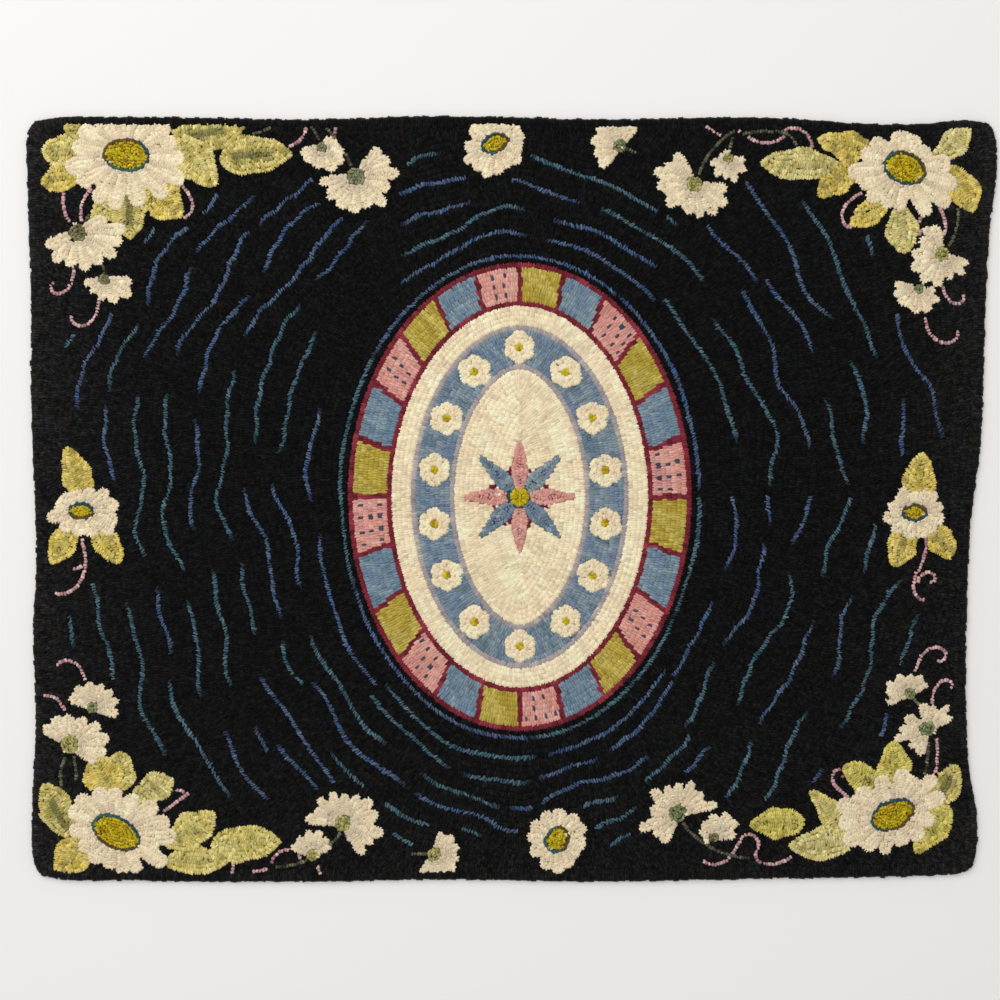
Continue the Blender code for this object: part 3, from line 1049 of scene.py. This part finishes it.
def wovenCloth():
    # Plain woven linen, a thread over and a thread under, coloured near black as painted shade for the deep
    # gaps between the loops, with painted shade in the hollows between its threads. It is seen only at the
    # turned edge and from below, where the eye gets a regular grid of round threads.
    material, tree, shader = newMaterial("linen foundation")
    here = addNode(tree, "ShaderNodeTexCoord", {}).outputs["Object"]
    scale = math.pi / 10 / (1.4 * mm)       # one thread to each 1.4 mm
    ridges = [addNode(tree, "ShaderNodeTexWave", {"Vector": here, "Scale": scale, "Distortion": 0.0},
                      bands_direction=direction, wave_profile="SIN") for direction in ("X", "Y")]
    woven = addNode(tree, "ShaderNodeMath", {
        0: ridges[0].outputs["Fac"], 1: ridges[1].outputs["Fac"]}, operation="MULTIPLY")
    # painted shade: the hollows between threads are darker than their crowns, and the whole cloth is near
    # black to stand for the shade down between the loops
    tint = addNode(tree, "ShaderNodeMix", {"Factor": woven.outputs["Value"]}, data_type="RGBA")
    feed(tree, tint, {"A": opaque("#1c1a19"), "B": opaque("#2b2826")})
    bump = addNode(tree, "ShaderNodeBump", {
        "Height": woven.outputs["Value"], "Strength": 0.6, "Distance": 0.4 * mm})
    feed(tree, shader, {"Base Color": tint.outputs["Result"], "Normal": bump.outputs["Normal"],
                        "Roughness": 0.9, "Specular IOR Level": 0.2})
    return material


def studioPaper():
    # Matt background paper, pulp pressed smooth. The eye gets one even pale tone and no gloss.
    material, tree, shader = newMaterial("background paper")
    feed(tree, shader, {"Base Color": opaque("#f2f0ee"), "Roughness": 0.95, "Specular IOR Level": 0.1})
    return material


def looseFibre():
    # Grey black hair, fine enough to look soft.
    material, tree, shader = newMaterial("loose wool fibre")
    feed(tree, shader, {"Base Color": opaque("#3a393b"), "Roughness": 0.8})
    return material


# Loops into pieces

def addObject(name, data):
    thing = bpy.data.objects.new(name, data)
    bpy.context.scene.collection.objects.link(thing)
    return thing


def addPiece(name, mesh, material):
    mesh.materials.clear()
    mesh.materials.append(material)
    piece = addObject(name, mesh)
    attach(piece, "root")
    return piece


def loopShape():
    # a strip of wool bent up over the cloth and down again, as wide as its row, ends drawn in at the crown
    shape = bmesh.new()
    bmesh.ops.create_cone(shape, cap_ends=True, cap_tris=False, segments=5, radius1=0.5, radius2=0.5, depth=1)
    bmesh.ops.rotate(shape, verts=shape.verts, cent=(0, 0, 0), matrix=Matrix.Rotation(math.pi / 2, 3, "X"))
    for corner in shape.verts:
        side = math.copysign(1, corner.co.x)
        end = math.copysign(1, corner.co.y)
        if corner.co.z > 0.4:
            corner.co = (0, end * hooking["crown"], 1)
        elif corner.co.z < -0.3:
            corner.co = (side * hooking["root"][0], end * hooking["root"][1], 0)
        else:
            corner.co = (side * hooking["shoulder"][0], end * hooking["shoulder"][1], hooking["shoulder"][2])
    bmesh.ops.recalc_face_normals(shape, faces=shape.faces)
    corners = np.array([corner.co for corner in shape.verts])
    faces = [[corner.index for corner in face.verts] for face in shape.faces]
    shape.free()
    return corners, faces


def woolPiece(name, points, turns, colours, sizes, material):
    corners, faces = loopShape()
    count, each = len(points), len(corners)
    root = hooking["clothTop"] - hooking["rootDepth"]
    tops = hooking["pileTop"] - root - rng.random(count) * hooking["unevenTop"] * 2
    points = points + rng.normal(0, hooking["unevenPlace"], (count, 2))
    wide = 1 + rng.normal(0, hooking["unevenSize"], (count, 2))
    scale = np.stack([hooking["loopGap"] * sizes[:, 0] * wide[:, 0],
                      hooking["rowGap"] * sizes[:, 1] * wide[:, 1], tops], axis=1)
    local = corners[None, :, :] * scale[:, None, :]
    lean = rng.normal(0, hooking["lean"], (count, 2))
    local[:, :, :2] += lean[:, None, :] * local[:, :, 2:]
    turned = turns + rng.normal(0, math.radians(hooking["unevenTurn"]), count)
    placed = np.empty_like(local)
    placed[:, :, 0], placed[:, :, 1] = placedAt(points, turned, local[:, :, 0], local[:, :, 1])
    placed[:, :, 2] = root + local[:, :, 2]
    faceCorners = np.concatenate(faces)
    faceStarts = np.cumsum([0] + [len(face) for face in faces[:-1]])
    first = np.arange(count)[:, None]
    mesh = bpy.data.meshes.new(name)
    mesh.vertices.add(count * each)
    mesh.vertices.foreach_set("co", placed.astype(np.float32).ravel())
    mesh.loops.add(count * len(faceCorners))
    mesh.loops.foreach_set("vertex_index", (first * each + faceCorners).astype(np.int32).ravel())
    mesh.polygons.add(count * len(faces))
    mesh.polygons.foreach_set("loop_start", (first * len(faceCorners) + faceStarts).astype(np.int32).ravel())
    mesh.update(calc_edges=True)
    mesh.shade_smooth()
    dye = mesh.attributes.new("dye", "FLOAT_COLOR", "POINT")
    painted = np.ones((count, each, 4), dtype=np.float32)
    painted[:, :, :3] = np.clip(colours, 0, 1)[:, None, :]
    dye.data.foreach_set("color", painted.ravel())
    # each loop has a square of its own in the baked picture, seen from above
    side = math.ceil(math.sqrt(count))
    square = np.stack([np.arange(count) % side, np.arange(count) // side], axis=1)[:, None, :]
    fromAbove = (square + 0.5 + corners[None, faceCorners, :2] / np.array(hooking["root"]) * 0.44) / side
    mesh.uv_layers.new(name="OFBake").uv.foreach_set("vector", fromAbove.astype(np.float32).ravel())
    overStrip = np.stack([local[:, :, 1], local[:, :, 2] * np.sign(corners[:, 0])], axis=2) / mm
    overStrip += rng.uniform(0, 300, (count, 1, 2))
    overStrip = overStrip[:, faceCorners]
    mesh.uv_layers.new(name="strip").uv.foreach_set("vector", overStrip.astype(np.float32).ravel())
    return addPiece(name, mesh, material)


def gathered(name):
    parts = wools[name]
    return [np.concatenate([part[n] for part in parts]) for n in range(4)]


def makeWools():
    # the last two numbers of each wool set its painted shade: how dark the loops' feet are, and how high up
    # the darkening stops
    paleWool = woolStrip("cream wool flannel", 0.06, 0.9 * mm, 0.25, 0.2, 0.82, 0.86)
    dyedWool = woolStrip("hand dyed wool flannel", 0.14, 0.9 * mm, 0.15, 0.15, 0.42, 0.86)
    darkWool = woolStrip("black wool tweed", 1.0, 3.2 * mm, 0.06, 0.1, 0.12, 1.0)
    echoWool = woolStrip("blue and teal wool flannel", 0.2, 0.9 * mm, 0.1, 0.1, 0.1, 1.0)
    goldWool = woolStrip("gold wool flannel", 0.14, 0.9 * mm, 0.15, 0.15, 0.7, 0.86)
    chosen = {"cream_petals": paleWool, "cream_field": paleWool, "small_daisies": paleWool,
              "echo_strokes": echoWool, "daisy_discs": goldWool}
    made = []
    for name in wools:
        if name != "ground":
            made.append(woolPiece(name, *gathered(name), chosen.get(name, dyedWool)))
    laid = gathered("ground")
    quarter = sideOf(laid[0], (0, 0), edgePaling["half"])
    for n, side in enumerate(("left", "near", "right", "far")):
        made.append(woolPiece("ground_" + side, *[part[quarter == n] for part in laid], darkWool))
    return made


woolPieces = makeWools()
print("loops made:", sum(len(piece.data.polygons) // 7 for piece in woolPieces))


# Foundation cloth and stray fibres

foundation = {
    "inset": 1.0 * mm,
    "rounding": 0.45 * mm,
    "fibres": 260,
    "fibreWidth": 0.05 * mm,
    "fibreLength": (1.5, 5.0),          # millimetres
    "fibreHeight": (1.5, 5.0),
}


def makeFoundation():
    cloth = bmesh.new()
    rim = smoothed(beside(edge, foundation["inset"]), 4 * mm)
    below = [cloth.verts.new((x, y, 0)) for x, y in rim]
    base = cloth.faces.new(below)
    lifted = bmesh.ops.extrude_face_region(cloth, geom=[base])
    above = [thing for thing in lifted["geom"] if isinstance(thing, bmesh.types.BMVert)]
    bmesh.ops.translate(cloth, verts=above, vec=(0, 0, hooking["clothTop"]))
    turnedEdges = [side for side in cloth.edges if abs(side.verts[0].co.z - side.verts[1].co.z) < 1e-6]
    bmesh.ops.bevel(cloth, geom=turnedEdges, offset=foundation["rounding"], segments=2, affect="EDGES",
                    profile=0.5)
    bmesh.ops.recalc_face_normals(cloth, faces=cloth.faces)
    bmesh.ops.triangulate(cloth, faces=[face for face in cloth.faces if len(face.verts) > 4])
    mesh = bpy.data.meshes.new("foundation_cloth")
    cloth.to_mesh(mesh)
    cloth.free()
    piece = addPiece("foundation_cloth", mesh, wovenCloth())
    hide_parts("hooked_rug")
    x, y = rim[:, 0], rim[:, 1]
    area = abs(np.dot(x, np.roll(y, -1)) - np.dot(y, np.roll(x, -1))) / 2
    return piece, (np.ptp(x), np.ptp(y)), area


def makeFibres():
    # ends of fibre that have worked loose along the edge, each a bent hair a few millimetres long
    hairs = bpy.data.curves.new("edge_fibres", "CURVE")
    hairs.dimensions = "3D"
    hairs.bevel_depth = foundation["fibreWidth"]
    hairs.bevel_resolution = 0
    hairs.resolution_u = 2
    outward = -beside(edge, 1) + edge
    for n in rng.choice(len(edge), foundation["fibres"], replace=False):
        length = rng.uniform(*foundation["fibreLength"]) * mm
        way = math.atan2(outward[n, 1], outward[n, 0]) + rng.normal(0, 0.7)
        bend = rng.normal(0, 1.1)
        hair = hairs.splines.new("POLY")
        hair.points.add(4)
        x, y = edge[n] - outward[n] * 1.5 * mm
        height = rng.uniform(*foundation["fibreHeight"]) * mm
        for step, point in enumerate(hair.points):
            point.co = (x, y, max(height, 0.1 * mm), 1)
            point.radius = 1 - step * 0.15
            x += length / 4 * math.cos(way + bend * step / 4)
            y += length / 4 * math.sin(way + bend * step / 4)
            height -= rng.uniform(0, 0.8) * mm
    shaped = addObject("edge_fibres_curve", hairs)
    mesh = bpy.data.meshes.new_from_object(shaped.evaluated_get(bpy.context.evaluated_depsgraph_get()))
    bpy.data.objects.remove(shaped, do_unlink=True)
    mesh.name = "edge_fibres"
    return addPiece("edge_fibres", mesh, looseFibre())


cloth, clothSize, clothArea = makeFoundation()
fibres = makeFibres()
print("foundation made")


# Floor, light and camera

studio = {
    "floor": 8.0,
    "cameraHeight": 4.0,
    "seen": 0.96,                       # width of the picture at the pile's top
    "middle": (-11 * mm, -1 * mm),
    "sensor": 36,
    "softbox": 2.6,
    "softboxAt": (-1.5, 1.9, 2.6),
    "softboxPower": 66,
    "sky": (1.0, 0.985, 0.97, 1),
    "skyStrength": 0.65,
}


def makeFloor():
    paper = bmesh.new()
    bmesh.ops.create_grid(paper, x_segments=1, y_segments=1, size=studio["floor"] / 2)
    mesh = bpy.data.meshes.new("floor")
    paper.to_mesh(mesh)
    paper.free()
    mesh.materials.append(studioPaper())
    addObject("floor", mesh)


def makeLight():
    world = bpy.data.worlds.new("studio")
    world.use_nodes = True
    tree = world.node_tree
    feed(tree, tree.nodes["Background"], {"Color": studio["sky"], "Strength": studio["skyStrength"]})
    bpy.context.scene.world = world
    lamp = bpy.data.lights.new("softbox", "AREA")
    lamp.shape = "SQUARE"
    lamp.size = studio["softbox"]
    lamp.energy = studio["softboxPower"]
    softbox = addObject("softbox", lamp)
    softbox.location = studio["softboxAt"]
    softbox.rotation_euler = (-softbox.location).to_track_quat("-Z", "Y").to_euler()


def makeCamera():
    lens = bpy.data.cameras.new("camera")
    lens.sensor_width = studio["sensor"]
    lens.lens = studio["sensor"] * (studio["cameraHeight"] - hooking["pileTop"]) / studio["seen"]
    camera = addObject("camera", lens)
    camera.location = (*studio["middle"], studio["cameraHeight"])
    bpy.context.scene.camera = camera


makeFloor()
makeLight()
makeCamera()
bpy.context.scene.view_settings.view_transform = "Standard"
print("scene ready")
